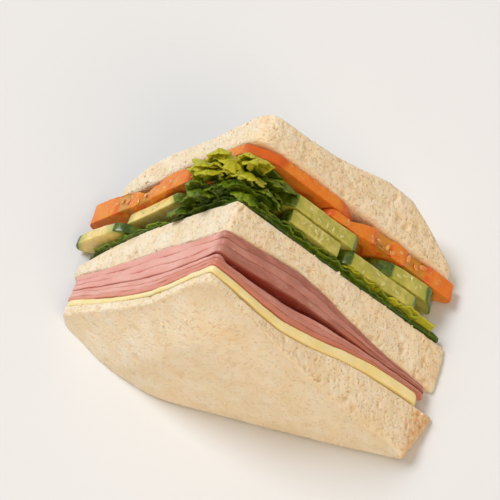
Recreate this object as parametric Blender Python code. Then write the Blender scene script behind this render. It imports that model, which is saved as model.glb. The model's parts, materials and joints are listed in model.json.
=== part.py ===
"""Club sandwich quarter: three crustless bread slices with ham and cheese in one gap and salad,
cucumber and tomato in the other, standing on its long trimmed side with the square corner up.

X runs along the base, Y from the front slice to the back slice, Z up. Lengths are in metres.
"""

import math

import bmesh
import bpy
from mathutils import Matrix, Vector

MM = 0.001

# The quarter of a square slice cut along both diagonals: its height, and how far each cut reaches
# along the base from under the square corner.
APEX_HEIGHT = 48 * MM
LEFT_REACH = 47.5 * MM
RIGHT_REACH = 50 * MM
APEX_ROUNDING = 1.5 * MM
BROAD_APEX_ROUNDING = 4.5 * MM

# Each row below gives a surface's depth in millimetres, measured from the back of the middle slice, at
# seven places along the base: the two ends, the middle under the top corner, and two between on each side.
ROW_PITCH = 16 * MM
ROW_MIDDLE = 3
ROW_END = 6
BACK_BREAD_BELLY = (18.5, 28.4, 30.4, 30.6, 31.4, 32.2, 21.5)
BACK_BREAD_EDGE = (17.4, 26.6, 25.6, 26.4, 27.4, 31.2, 19.6)
BACK_BREAD_INNER = (17.2, 18.2, 19.1, 17.6, 17.6, 17.4, 16.9)
MIDDLE_BREAD_BACK = (-0.4, 2.1, 1.6, 0.0, -0.3, 0.0, 0.0)
MIDDLE_BREAD_FRONT = (-3.6, -5.8, -7.0, -8.8, -6.8, -11.0, -12.8)
BACK_HAM_FRONT = (-7.6, -11.2, -14.6, -15.0, -13.6, -14.2, -14.1)
FRONT_HAM_BACK = (-7.9, -11.5, -14.9, -15.4, -15.5, -14.6, -14.5)
FRONT_HAM_FRONT = (-10.5, -15.0, -19.2, -18.4, -20.2, -16.4, -15.8)
CHEESE_FRONT = (-12.6, -16.9, -20.9, -20.5, -22.9, -19.3, -18.5)
FRONT_BREAD_EDGE = (-16.0, -20.2, -24.0, -23.6, -27.8, -31.0, -31.9)
FRONT_BREAD_BELLY = (-18.0, -24.6, -30.6, -31.4, -31.9, -32.1, -32.2)
SALAD_BACK = (2.4, 3.6, 4.2, 2.8, 2.4, 2.4, 2.4)
SALAD_LAYER_SHIFT = (0.9, 0.9, 1.5, 0.2, 0.0, 0.0, 0.0)

# How far each layer's tips are cut off, on the left and on the right.
BACK_BREAD_TIPS = (7.0 * MM, 5.0 * MM)
MIDDLE_BREAD_TIPS = (1.8 * MM, 1.2 * MM)
FRONT_BREAD_TIPS = (4.0 * MM, 1.6 * MM)
CHEESE_TIPS = (4.0 * MM, 4.4 * MM)
HAM_TIPS = (3.4 * MM, 3.2 * MM)
SALAD_TIPS = (2.8 * MM, 5.0 * MM)

# The front slice's right tip is cut askew, so that it reaches further at its back.
FRONT_BREAD_SLANT = 0.4

# How far each layer's edges are rounded off.
BACK_BREAD_BEVEL = 1.4 * MM
MIDDLE_BREAD_BEVEL = 0.7 * MM
FRONT_BREAD_BEVEL = 1.1 * MM
CHEESE_BEVEL = 0.5 * MM
HAM_BEVEL = 0.6 * MM

# How far in from the cuts the outer slices stay pressed thin.
PINCH_WIDTH = 12 * MM

# A gap left between touching pieces.
GAP = 0.35 * MM

# Round slices, in millimetres: centre across and up, radius, front and back depth, how much further back
# its front and its back lie towards one end, where along the base that starts and which way it goes, and
# how far the slice passes the cuts.
ROUND_SLICES = (
    ("cucumber_1", 10.5, 24.0, 14.4, (7.2, 11.1), (0.0, 0.0), 0.0, 1, 0.3),
    ("cucumber_2", 25.7, 10.5, 14.4, (3.0, 6.9), (0.0, 0.0), 0.0, 1, 0.3),
    ("cucumber_3", 30.0, 3.9, 13.2, (7.2, 11.1), (0.3, 0.6), 32.0, 1, 0.3),
    ("cucumber_4", -19.5, 14.5, 14.4, (6.1, 9.2), (0.0, 0.0), 0.0, 1, 0.3),
    ("cucumber_5", -33.5, 1.5, 14.4, (2.95, 5.75), (0.6, 0.8), -35.0, -1, 2.7),
    ("cucumber_6", 14.9, 30.9, 8.3, (3.1, 6.8), (0.0, 0.0), 0.0, 1, 0.3),
    ("tomato_1", -27.0, 13.0, 22.0, (9.6, 13.6), (0.6, 2.8), -30.0, -1, 1.8),
    ("tomato_2", -3.0, 20.0, 25.0, (14.0, 17.0), (0.0, 0.0), 0.0, 1, 0.3),
    ("tomato_3", 27.0, 11.0, 22.0, (11.4, 13.6), (0.6, 3.1), 22.0, 1, 0.3),
)
LEAN_WIDTH = 5 * MM
SLICE_BEVEL = 0.5 * MM

# How far each filling stops above the base, and how far it passes the cuts.
CHEESE_LIFT = 0.8 * MM
HAM_LIFT = 1.0 * MM
SALAD_LIFT = 0.9 * MM
SLICE_LIFT = 1.2 * MM
HAM_OVERHANG = 0.4 * MM
CHEESE_OVERHANG = 0.7 * MM
FRONT_BREAD_OVERHANG = 1.0 * MM

# The salad's uneven edge, and the sprig that stands in the gap at the top corner.
SALAD_OVERHANG = 1.1 * MM
SALAD_WAVE = 0.9 * MM
SALAD_RIM = 4 * MM
SALAD_WAVES_PER_M = 45
SALAD_WAVE_START = 0.9
SPRIG_DEPTH = 10.0 * MM
SPRIG_ACROSS = -2.0 * MM
SPRIG_FOOT = 41.2 * MM
SPRIG_RISE = 2.6 * MM
SPRIG_STEP = 1.5 * MM
SPRIG_HALF_WIDTH = 8.0 * MM
SPRIG_SIDE_STEEPNESS = 1.5
SPRIG_SPREAD = 1.1

# The prism that each layer is bent from.
BLANK_DEPTH = 10 * MM
GRID_STEP = 6 * MM
FINE_GRID_STEP = 5 * MM
ROUND_SEGMENTS = 30
BEVEL_ANGLE = math.radians(38)
SNAP = 0.02 * MM

COLOURS = {
    "bread": (0.84, 0.70, 0.49, 1.0),
    "cheese": (0.87, 0.70, 0.30, 1.0),
    "ham": (0.78, 0.38, 0.33, 1.0),
    "salad": (0.16, 0.26, 0.03, 1.0),
    "cucumber": (0.58, 0.60, 0.24, 1.0),
    "tomato": (0.72, 0.19, 0.05, 1.0),
}


def smooth(value):
    """Zero below 0, one above 1, with an even rise between."""
    value = min(max(value, 0.0), 1.0)
    return value * value * (3 - 2 * value)


def along(x, row):
    """A row's depth at x in metres, on a curve through its seven places."""
    place = min(max(x / ROW_PITCH + ROW_MIDDLE, 0.0), ROW_END)
    left = min(int(place), ROW_END - 1)
    t = place - left
    before, start, end, after = (row[min(max(left + i, 0), ROW_END)] for i in (-1, 0, 1, 2))
    curve = start + 0.5 * t * (
        (end - before)
        + t * (2 * before - 5 * start + 4 * end - after)
        + t * t * (3 * start - before - 3 * end + after)
    )
    return MM * curve


def cut_normal(side):
    """The outward direction of a diagonal cut: side -1 is the left one, 1 the right one."""
    reach = RIGHT_REACH if side > 0 else LEFT_REACH
    return Vector((side * APEX_HEIGHT, 0, reach)).normalized()


def inside_cut(x, z):
    """How far a place lies in from the nearer diagonal cut."""
    return min(cut_normal(side).dot((-x, 0, APEX_HEIGHT - z)) for side in (-1, 1))


def bisect(bm, point, normal, clear=True):
    geometry = bm.verts[:] + bm.edges[:] + bm.faces[:]
    bmesh.ops.bisect_plane(
        bm, geom=geometry, dist=SNAP, plane_co=point, plane_no=normal, clear_outer=clear
    )
    if clear:
        rim = [edge for edge in bm.edges if edge.is_boundary]
        bmesh.ops.holes_fill(bm, edges=rim, sides=0)


def cut_to_quarter(bm, overhang, lift):
    """Trims a piece to the two diagonal cuts and to its height above the base."""
    for side in (-1, 1):
        normal = cut_normal(side)
        bisect(bm, Vector((0, 0, APEX_HEIGHT)) + overhang * normal, normal)
    bisect(bm, (0, 0, lift), (0, 0, -1))


def add_grid(bm, step):
    """Scores lines across a piece so that it can bend."""
    lines = int(RIGHT_REACH / step) + 1
    for i in range(-lines, lines):
        bisect(bm, ((i + 0.5) * step, 0, 0), (1, 0, 0), clear=False)
        bisect(bm, (0, 0, (i + 0.5) * step), (0, 0, 1), clear=False)


def quarter_blank(overhang, lift, apex_rounding, tips, slant, bevel, step):
    """The quarter's outline as a straight prism, with its tips cut off and its corner and rims rounded."""
    bm = bmesh.new()
    bmesh.ops.create_cube(bm, size=1)
    bmesh.ops.scale(bm, vec=(3 * RIGHT_REACH, BLANK_DEPTH, 3 * APEX_HEIGHT), verts=bm.verts)
    bmesh.ops.translate(bm, vec=(0, BLANK_DEPTH / 2, APEX_HEIGHT), verts=bm.verts)
    cut_to_quarter(bm, overhang, lift)
    bisect(bm, (tips[0] - LEFT_REACH, 0, 0), (-1, 0, 0))
    bisect(bm, (RIGHT_REACH - tips[1], BLANK_DEPTH / 2, 0), (1, -slant, 0))
    if apex_rounding:
        ridge = [e for e in bm.edges if all(v.co.z > APEX_HEIGHT - SNAP for v in e.verts)]
        bmesh.ops.bevel(
            bm, geom=ridge, offset=apex_rounding, segments=3, profile=0.5, affect="EDGES"
        )
    if bevel:
        rims = [e for e in bm.edges if e.calc_face_angle(0) > BEVEL_ANGLE]
        bmesh.ops.bevel(
            bm, geom=rims, offset=bevel, segments=2, profile=0.5, affect="EDGES"
        )
        bisect(bm, (0, 0, lift), (0, 0, -1))
    add_grid(bm, step)
    return bm


def finish(bm, name):
    """Closes a piece off as an object, in the colour that the first word of its name gives."""
    bmesh.ops.recalc_face_normals(bm, faces=bm.faces)
    if bm.calc_volume(signed=True) < 0:
        bmesh.ops.reverse_faces(bm, faces=bm.faces)
    mesh = bpy.data.meshes.new(name)
    bm.to_mesh(mesh)
    bm.free()
    mesh.materials.append(material(name.split("_")[0]))
    obj = bpy.data.objects.new(name, mesh)
    bpy.data.collections["club_sandwich"].objects.link(obj)


def layer(name, back, front, tips, bevel, lift=0.0, overhang=0.0, rounding=0.0, slant=0.0):
    """A layer that fills the quarter between two surfaces, each a function of x and z."""
    bm = quarter_blank(overhang, lift, rounding, tips, slant, bevel, GRID_STEP)
    for vert in bm.verts:
        x, y, z = vert.co
        near = front(x, z)
        vert.co.y = near + y / BLANK_DEPTH * (back(x, z) - near)
    finish(bm, name)


def row_surface(row, offset=0.0):
    return lambda x, z: along(x, row) + offset


def pressed_surface(edge, belly):
    """An outer bread face: at the edge row's depth along the cuts, swelling to the belly row's inside."""

    def depth(x, z):
        share = smooth(inside_cut(x, z) / PINCH_WIDTH)
        return along(x, edge) + share * (along(x, belly) - along(x, edge))

    return depth


def build_breads():
    layer(
        "bread_back",
        pressed_surface(BACK_BREAD_EDGE, BACK_BREAD_BELLY),
        row_surface(BACK_BREAD_INNER),
        BACK_BREAD_TIPS,
        BACK_BREAD_BEVEL,
        rounding=BROAD_APEX_ROUNDING,
    )
    layer(
        "bread_middle",
        row_surface(MIDDLE_BREAD_BACK),
        row_surface(MIDDLE_BREAD_FRONT),
        MIDDLE_BREAD_TIPS,
        MIDDLE_BREAD_BEVEL,
        rounding=APEX_ROUNDING,
    )
    layer(
        "bread_front",
        row_surface(CHEESE_FRONT, -GAP),
        pressed_surface(FRONT_BREAD_EDGE, FRONT_BREAD_BELLY),
        FRONT_BREAD_TIPS,
        FRONT_BREAD_BEVEL,
        overhang=FRONT_BREAD_OVERHANG,
        slant=FRONT_BREAD_SLANT,
    )


def build_meat_and_cheese():
    layer(
        "cheese",
        row_surface(FRONT_HAM_FRONT, -GAP),
        row_surface(CHEESE_FRONT),
        CHEESE_TIPS,
        CHEESE_BEVEL,
        lift=CHEESE_LIFT,
        overhang=CHEESE_OVERHANG,
    )
    layer(
        "ham_front",
        row_surface(FRONT_HAM_BACK),
        row_surface(FRONT_HAM_FRONT),
        HAM_TIPS,
        HAM_BEVEL,
        lift=HAM_LIFT,
        overhang=HAM_OVERHANG,
    )
    layer(
        "ham_back",
        row_surface(MIDDLE_BREAD_FRONT, -GAP),
        row_surface(BACK_HAM_FRONT),
        HAM_TIPS,
        HAM_BEVEL,
        lift=HAM_LIFT,
        overhang=HAM_OVERHANG,
    )


def salad_back(x, z):
    """The back of the salad, with a sprig standing out to the back near the top corner."""
    up = smooth((z - SPRIG_FOOT) / SPRIG_STEP)
    across = smooth(SPRIG_SIDE_STEEPNESS * (1 - abs(x - SPRIG_ACROSS) / SPRIG_HALF_WIDTH))
    return along(x, SALAD_BACK) + SPRIG_DEPTH * up * across


def build_salad():
    bm = quarter_blank(SALAD_OVERHANG, SALAD_LIFT, 0.0, SALAD_TIPS, 0.0, 0.0, FINE_GRID_STEP)
    for height in (SPRIG_FOOT, SPRIG_FOOT + SPRIG_STEP / 2, SPRIG_FOOT + SPRIG_STEP):
        bisect(bm, (0, 0, height), (0, 0, 1), clear=False)
    for vert in bm.verts:
        x, y, z = vert.co
        t = y / BLANK_DEPTH
        near = along(x, MIDDLE_BREAD_BACK) + GAP
        vert.co.y = near + t * (salad_back(x, z) - near)
        rim = smooth(1 - inside_cut(x, z) / SALAD_RIM)
        wave = SALAD_WAVE * rim * math.sin(math.tau * SALAD_WAVES_PER_M * x + SALAD_WAVE_START)
        if SALAD_RIM < z < SPRIG_FOOT:
            vert.co += wave * cut_normal(1 if x > 0 else -1)
        top = smooth((z - SPRIG_FOOT) / (APEX_HEIGHT - SPRIG_FOOT))
        vert.co.x += SPRIG_SPREAD * t * top * (x - SPRIG_ACROSS)
        vert.co.z += SPRIG_RISE * t * top
    finish(bm, "salad")


def round_slice(name, across, up, radius, depths, leans, lean_start, lean_way, overhang):
    """A round vegetable slice standing on edge, trimmed by the cuts, that leans or thickens at one end."""
    bm = bmesh.new()
    depth = depths[1] - depths[0]
    bmesh.ops.create_cone(
        bm, cap_ends=True, segments=ROUND_SEGMENTS, radius1=radius, radius2=radius, depth=depth
    )
    bmesh.ops.rotate(bm, matrix=Matrix.Rotation(math.pi / 2, 3, "X"), verts=bm.verts)
    bmesh.ops.translate(bm, vec=(across, (depths[0] + depths[1]) / 2, up), verts=bm.verts)
    cut_to_quarter(bm, overhang, SLICE_LIFT)
    bmesh.ops.remove_doubles(bm, verts=bm.verts, dist=SLICE_BEVEL)
    rims = [e for e in bm.edges if e.calc_face_angle(0) > BEVEL_ANGLE]
    bmesh.ops.bevel(
        bm, geom=rims, offset=SLICE_BEVEL, segments=1, profile=0.5, affect="EDGES"
    )
    lines = int(RIGHT_REACH / FINE_GRID_STEP)
    places = [i * FINE_GRID_STEP for i in range(1 - lines, lines)]
    for place in places + [lean_start, lean_start + lean_way * LEAN_WIDTH]:
        bisect(bm, (place, 0, 0), (1, 0, 0), clear=False)
    for vert in bm.verts:
        shift = along(vert.co.x, SALAD_LAYER_SHIFT)
        back_share = (vert.co.y - depths[0]) / depth
        lean = leans[0] + (leans[1] - leans[0]) * back_share
        shift += lean * smooth(lean_way * (vert.co.x - lean_start) / LEAN_WIDTH)
        vert.co.y += shift
    finish(bm, name)


def build_round_slices():
    for name, across, up, radius, depths, leans, start, way, overhang in ROUND_SLICES:
        depths = [depth * MM for depth in depths]
        leans = [lean * MM for lean in leans]
        round_slice(
            name, across * MM, up * MM, radius * MM, depths, leans, start * MM, way, overhang * MM
        )


def material(slot):
    """The plain material of a slot, made once."""
    found = bpy.data.materials.get(slot)
    if found:
        return found
    made = bpy.data.materials.new(slot)
    made.use_nodes = True
    shader = made.node_tree.nodes["Principled BSDF"]
    shader.inputs["Base Color"].default_value = COLOURS[slot]
    shader.inputs["Roughness"].default_value = 0.7
    return made


def stand_on_origin():
    """Moves every piece so that the sandwich's box is centred on the origin and stands on it."""
    pieces = bpy.data.collections["club_sandwich"].objects
    corners = [vert.co for obj in pieces for vert in obj.data.vertices]
    lows = [min(corner[axis] for corner in corners) for axis in range(3)]
    highs = [max(corner[axis] for corner in corners) for axis in range(3)]
    shift = Vector((-(lows[0] + highs[0]) / 2, -(lows[1] + highs[1]) / 2, -lows[2]))
    for obj in pieces:
        obj.data.transform(Matrix.Translation(shift))


def main():
    for obj in list(bpy.data.objects):
        bpy.data.objects.remove(obj)
    bpy.context.scene.collection.children.link(bpy.data.collections.new("club_sandwich"))
    build_breads()
    build_meat_and_cheese()
    build_salad()
    build_round_slices()
    stand_on_origin()


main()
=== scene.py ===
import json
import math
import random

import bpy
import numpy as np
from bpy.props import FloatProperty, FloatVectorProperty, IntProperty, PointerProperty
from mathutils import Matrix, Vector, geometry, noise
from mathutils.bvhtree import BVHTree

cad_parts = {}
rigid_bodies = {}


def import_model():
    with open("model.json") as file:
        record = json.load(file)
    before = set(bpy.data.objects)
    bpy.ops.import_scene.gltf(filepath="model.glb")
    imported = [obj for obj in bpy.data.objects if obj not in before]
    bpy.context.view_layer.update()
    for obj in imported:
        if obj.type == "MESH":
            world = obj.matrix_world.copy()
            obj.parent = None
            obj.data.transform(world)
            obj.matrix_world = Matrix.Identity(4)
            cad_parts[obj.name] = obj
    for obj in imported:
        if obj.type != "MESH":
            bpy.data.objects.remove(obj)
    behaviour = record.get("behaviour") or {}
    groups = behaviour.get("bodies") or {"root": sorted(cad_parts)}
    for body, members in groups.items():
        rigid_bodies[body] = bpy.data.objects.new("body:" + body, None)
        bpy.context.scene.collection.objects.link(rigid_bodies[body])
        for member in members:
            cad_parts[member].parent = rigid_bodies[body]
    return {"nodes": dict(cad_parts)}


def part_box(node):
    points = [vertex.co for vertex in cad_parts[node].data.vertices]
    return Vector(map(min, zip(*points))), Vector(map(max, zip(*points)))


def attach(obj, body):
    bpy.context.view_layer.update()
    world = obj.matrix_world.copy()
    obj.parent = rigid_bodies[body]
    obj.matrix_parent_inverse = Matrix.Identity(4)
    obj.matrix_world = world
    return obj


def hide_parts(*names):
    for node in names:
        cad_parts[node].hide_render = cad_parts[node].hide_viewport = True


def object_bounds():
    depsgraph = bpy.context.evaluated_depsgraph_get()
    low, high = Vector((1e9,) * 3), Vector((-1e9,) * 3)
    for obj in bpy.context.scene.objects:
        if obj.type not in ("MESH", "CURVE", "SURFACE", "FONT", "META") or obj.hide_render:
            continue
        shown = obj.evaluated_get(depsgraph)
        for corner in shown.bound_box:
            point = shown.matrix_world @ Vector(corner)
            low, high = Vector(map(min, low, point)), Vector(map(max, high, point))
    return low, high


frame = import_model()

bl_info = {
    "name": "Club Sandwich Quarter",
    "version": (1, 0, 0),
    "blender": (4, 5, 0),
    "location": "3D View > Sidebar > Sandwich",
    "description": "Makes a club sandwich quarter: soft bread, ham, cheese, salad, cucumber and tomato",
    "category": "Add Mesh",
}

MM = 0.001
CAD_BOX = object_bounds()

# How strongly the end of each bread slice is tinted a darker orange, and which knife cut each round slice
# shows on. Cucumbers on the left cut, which faces the key light, are painted paler: painted light.
BREADS = {"bread_front": 0.75, "bread_middle": 0.12, "bread_back": 0.08}
CUCUMBERS = {"cucumber_1": 1, "cucumber_2": 1, "cucumber_3": 1, "cucumber_6": 1}
CUCUMBERS |= {"cucumber_4": -1, "cucumber_5": -1}
TOMATOES = {"tomato_1": -1, "tomato_2": -1, "tomato_3": 1}


# ---------------- places in the frame


def node_points(node):
    return [vert.co.copy() for vert in frame["nodes"][node].data.vertices]


# The two flat knife cuts that bound the quarter, each with the way down along it. -1 is the left one.
SIDES = (-1, 1)
CUT_NORMALS = {-1: Vector((-48, 0, 47.5)).normalized(), 1: Vector((48, 0, 50)).normalized()}
CUT_SLOPES = {side: Vector((side * CUT_NORMALS[side].z, 0, -side * CUT_NORMALS[side].x)) for side in SIDES}
CUT_LEVELS = {
    side: max(normal.dot(point) for point in node_points("bread_middle"))
    for side, normal in CUT_NORMALS.items()
}


def meeting_place():
    """Where the two knife cuts meet."""
    rows = [(CUT_NORMALS[side].x, CUT_NORMALS[side].z) for side in SIDES]
    x, z = np.linalg.solve(rows, [CUT_LEVELS[side] for side in SIDES])
    return Vector((x, 0, z))


CORNER = meeting_place()


def wave(place, size, seed, finer=0.0):
    """Uneven rise and fall between about -1 and 1 over that size, with a finer share on top."""
    start = place / size + Vector((seed * 7.3, seed * 3.1, seed * 1.7))
    return noise.noise(start) + finer * noise.noise(start * 2.7)


def smooth(value):
    """Zero below 0, one above 1, with an even rise between."""
    value = min(max(value, 0.0), 1.0)
    return value * value * (3 - 2 * value)


def inside_cut(co, side=0):
    """How far a place lies in from one knife cut, or from the nearer one."""
    return min(CUT_LEVELS[s] - CUT_NORMALS[s].dot(co) for s in ((side,) if side else SIDES))


def cut_place(side, down, inward):
    """A place on a knife cut, so far down from the corner and so far in from the cut."""
    return CORNER + CUT_SLOPES[side] * down - CUT_NORMALS[side] * inward


def surface_reader(node, margin=1.3 * MM):
    """A function that gives a node's front and back depth at a place across and up."""
    mesh = frame["nodes"][node].data
    tree = BVHTree.FromPolygons([v.co for v in mesh.vertices], [p.vertices for p in mesh.polygons])
    outline = hull_of(node_points(node))
    middle = sum(outline, Vector((0, 0))) / len(outline)
    steps = 40

    def read_depths(x, z):
        place = Vector((x, z))
        away = place - middle
        if away.length > margin:
            place -= away.normalized() * margin
        for step in range(steps):
            here = place.lerp(middle, step / steps)
            front = tree.ray_cast(Vector((here.x, -1, here.y)), Vector((0, 1, 0)))[0]
            if front:
                return front.y, tree.ray_cast(Vector((here.x, 1, here.y)), Vector((0, -1, 0)))[0].y
        raise RuntimeError(f"no surface of {node} was found")

    return read_depths


def hull_of(points):
    """The convex outline of points seen from the front, counter-clockwise."""
    flat = [Vector((p.x, p.z)) for p in points]
    hull = [flat[i] for i in geometry.convex_hull_2d(flat)]
    area = sum(a.cross(b) for a, b in zip(hull, hull[1:] + hull[:1]))
    return hull if area > 0 else hull[::-1]


def even_outline(node, count, rounding=0.9 * MM, grow=0.0):
    """A node's outline as evenly spaced places, with its corners rounded off."""
    hull = hull_of(node_points(node))
    sides = list(zip(hull, hull[1:] + hull[:1]))
    pitch = sum((b - a).length for a, b in sides) / count
    places = []
    walked = 0.0
    for a, b in sides:
        length = (b - a).length
        while len(places) < count and len(places) * pitch <= walked + length:
            places.append(a.lerp(b, (len(places) * pitch - walked) / length))
        walked += length
    for _ in range(int((rounding / pitch) ** 2)):
        places = [(places[i - 1] + 2 * p + places[(i + 1) % count]) / 4 for i, p in enumerate(places)]
    middle = sum(places, Vector((0, 0))) / count
    return [p + (p - middle).normalized() * grow for p in places]


def circle_of(node):
    """The middle and radius of a round slice, fitted to the rim that no cut has trimmed."""
    hull = [Vector((p.x, 0, p.y)) for p in hull_of(node_points(node))]
    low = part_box(node)[0].z
    rim = [p for p in hull if inside_cut(p) > 1.5 * MM and p.z > low + 1.5 * MM]
    rows = [(2 * p.x, 2 * p.z, 1) for p in rim]
    answer = np.linalg.lstsq(rows, [p.x**2 + p.z**2 for p in rim], rcond=None)[0]
    return Vector((answer[0], 0, answer[1])), math.sqrt(answer[2] + answer[0] ** 2 + answer[1] ** 2)


# ---------------- working on meshes


def pick(obj):
    """Makes obj the only selected object, and the active one."""
    bpy.ops.object.select_all(action="DESELECT")
    obj.select_set(True)
    bpy.context.view_layer.objects.active = obj


def new_piece(name):
    """Names the primitive that was just added."""
    piece = bpy.context.object
    piece.name = name
    piece.data.name = name
    return piece


def finish_modifier(piece, kind, **settings):
    """Adds a modifier with these settings and applies it."""
    pick(piece)
    modifier = piece.modifiers.new(kind.lower(), kind)
    for key, value in settings.items():
        setattr(modifier, key, value)
    bpy.ops.object.modifier_apply(modifier=modifier.name)


def node_copy(node):
    """A new object with its own merged copy of a node's mesh."""
    piece = bpy.data.objects.new(node + "_piece", frame["nodes"][node].data.copy())
    bpy.context.scene.collection.objects.link(piece)
    piece.data.materials.clear()
    pick(piece)
    bpy.ops.object.mode_set(mode="EDIT")
    bpy.ops.mesh.select_all(action="SELECT")
    bpy.ops.mesh.remove_doubles(threshold=0.01 * MM)
    bpy.ops.object.mode_set(mode="OBJECT")
    return piece


def reshape(piece, rule):
    """Moves each point to where the rule puts it, from its place and its normal."""
    mesh = piece.data
    places = [rule(vert.co, vert.normal) for vert in mesh.vertices]
    mesh.vertices.foreach_set("co", [number for place in places for number in place])
    mesh.update()


def mark(piece, name, values):
    """Gives each point a number that a material can read."""
    attribute = piece.data.attributes.new(name, "FLOAT", "POINT")
    attribute.data.foreach_set("value", values)


def mark_by(piece, name, rule):
    mark(piece, name, [rule(vert.co, vert.normal) for vert in piece.data.vertices])


def join(pieces, name):
    bpy.ops.object.select_all(action="DESELECT")
    for piece in pieces:
        piece.select_set(True)
    bpy.context.view_layer.objects.active = pieces[0]
    bpy.ops.object.join()
    return new_piece(name)


def settle(piece, material, slot, *nodes):
    """Gives a piece its material and its place in the frame."""
    piece.data.materials.clear()
    piece.data.materials.append(material)
    pick(piece)
    bpy.ops.object.shade_smooth()
    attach(piece, "root")
    if nodes:
        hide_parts(*nodes)


def slab(name, outline, surfaces, rim, inner_rings=12, rim_rings=4):
    """A flat piece shaped from a sphere: its equator becomes the rim, its poles the two sides' middles.

    The outline runs round it, and surfaces gives the front and back depth at a place across and up.
    """
    count = len(outline)
    side_rings = inner_rings + rim_rings
    bpy.ops.mesh.primitive_uv_sphere_add(segments=count, ring_count=2 * side_rings, radius=1)
    piece = new_piece(name)
    middle = sum(outline, Vector((0, 0))) / count

    def rule(co, _):
        turn = math.atan2(co.y, co.x) / math.tau * count
        ring = round(math.asin(min(max(co.z, -1.0), 1.0)) / math.pi * 2 * side_rings)
        edge = outline[round(turn) % count]
        outward = (edge - middle).normalized()
        steps = abs(ring)
        angle = min(max(steps - 1, 0) / (rim_rings - 1), 1.0) * math.pi / 2
        place = edge - outward * (rim * (1 - math.cos(angle)))
        inner = max(steps - rim_rings, 0) / inner_rings
        place = place.lerp(middle, inner**1.4)
        front, back = surfaces(place.x, place.y)
        half = (back - front) / 2
        edge_half = max(half - rim, 0.25 * half)
        depth = edge_half + (half - edge_half) * math.sin(angle) if ring else 0.0
        depth = math.copysign(depth, ring)
        return Vector((place.x, (front + back) / 2 - depth, place.y))

    reshape(piece, rule)
    return piece


def make_ragged(piece, amount, size, reach, seed):
    """Moves the edge along the knife cuts in and out unevenly, with no change further in than reach."""

    def rule(co, _):
        moved = co.copy()
        for side in SIDES:
            share = smooth(1 - inside_cut(co, side) / reach)
            if share:
                moved += CUT_NORMALS[side] * amount * share * wave(co, size, seed, 0.4)
        return moved

    reshape(piece, rule)


# ---------------- shader nodes


def fill(made, values):
    """Gives a node's inputs, by name or number, their values or links. Each colour is solid."""
    for key, value in values.items():
        socket = made.inputs[key]
        if isinstance(value, bpy.types.NodeSocket):
            made.id_data.links.new(value, socket)
        else:
            socket.default_value = (*value[:3], 1.0) if socket.type == "RGBA" else value
    return made


def add_node(kind, values, **settings):
    """A node with these settings and inputs, in the tree that its links come from."""
    tree = next(value.id_data for value in values.values() if isinstance(value, bpy.types.NodeSocket))
    made = tree.nodes.new(kind)
    for key, value in settings.items():
        setattr(made, key, value)
    return fill(made, values)


def maths(operation, *values, clamp=False):
    values = dict(enumerate(values))
    return add_node("ShaderNodeMath", values, operation=operation, use_clamp=clamp).outputs[0]


def times(first, second, clamp=False):
    return maths("MULTIPLY", first, second, clamp=clamp)


def stretch(value, factor, least):
    """Value times factor, plus least."""
    return maths("MULTIPLY_ADD", value, factor, least)


def vector_maths(operation, *values, **named):
    values = dict(enumerate(values)) | named
    return add_node("ShaderNodeVectorMath", values, operation=operation).outputs[0]


def mix(factor, first, second):
    values = {0: factor, 6: first, 7: second}
    return add_node("ShaderNodeMix", values, data_type="RGBA").outputs[2]


def between(value, low, high):
    """Value mapped so that low gives 0 and high gives 1, smoothly."""
    values = {"Value": value, "From Min": low, "From Max": high}
    return add_node("ShaderNodeMapRange", values, interpolation_type="SMOOTHSTEP").outputs[0]


def grain(vector, scale, detail, roughness=0.5, distortion=0.0):
    values = {"Vector": vector, "Scale": scale, "Detail": detail, "Roughness": roughness}
    values["Distortion"] = distortion
    return add_node("ShaderNodeTexNoise", values).outputs["Fac"]


def read(tree, name):
    """The number that the piece's points were marked with under that name."""
    made = tree.nodes.new("ShaderNodeAttribute")
    made.attribute_name = name
    return made.outputs["Fac"]


def object_place(tree):
    return tree.nodes.new("ShaderNodeTexCoord").outputs["Object"]


def raise_surface(height, distance, strength=1.0):
    values = {"Height": height, "Distance": distance, "Strength": strength}
    return add_node("ShaderNodeBump", values).outputs[0]


def new_group(name, inputs, outputs):
    """An empty shader node group. An input's default tells its kind: None is for a vector's."""
    group = bpy.data.node_groups.new(name, "ShaderNodeTree")
    kinds = {type(None): "NodeSocketVector", tuple: "NodeSocketColor", float: "NodeSocketFloat"}
    for label, default in inputs.items():
        socket = group.interface.new_socket(label, in_out="INPUT", socket_type=kinds[type(default)])
        if default is not None:
            socket.default_value = default
    for label in outputs:
        kind = "NodeSocketColor" if label == "Colour" else "NodeSocketFloat"
        group.interface.new_socket(label, in_out="OUTPUT", socket_type=kind)
    return group.nodes.new("NodeGroupInput").outputs, group.nodes.new("NodeGroupOutput")


def in_group(name, values):
    """The outputs of a shader node group placed in a material with its own values."""
    return add_node("ShaderNodeGroup", values, node_tree=bpy.data.node_groups[name]).outputs


def colour(red, green, blue):
    """A colour as the scene's light sees it, from its screen values of 0 to 255."""
    shares = (value / 255 for value in (red, green, blue))
    return tuple(s / 12.92 if s <= 0.04045 else ((s + 0.055) / 1.055) ** 2.4 for s in shares)


def finish(shader, **inputs):
    """Gives the shader's inputs, named with _ for a space, their values or links."""
    fill(shader, {key.replace("_", " "): value for key, value in inputs.items()})


def new_material(name, glow=None, **inputs):
    """A material with a Principled shader. The values given here are the same all over.

    Glow is for what light sinks into: how much, how far for red, green and blue, and the scale of that.
    """
    made = bpy.data.materials.new(name)
    made.use_nodes = True
    shader = made.node_tree.nodes["Principled BSDF"]
    if glow:
        inputs["Subsurface_Weight"], inputs["Subsurface_Radius"], inputs["Subsurface_Scale"] = glow
    finish(shader, **inputs)
    return made, made.node_tree, shader


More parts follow.
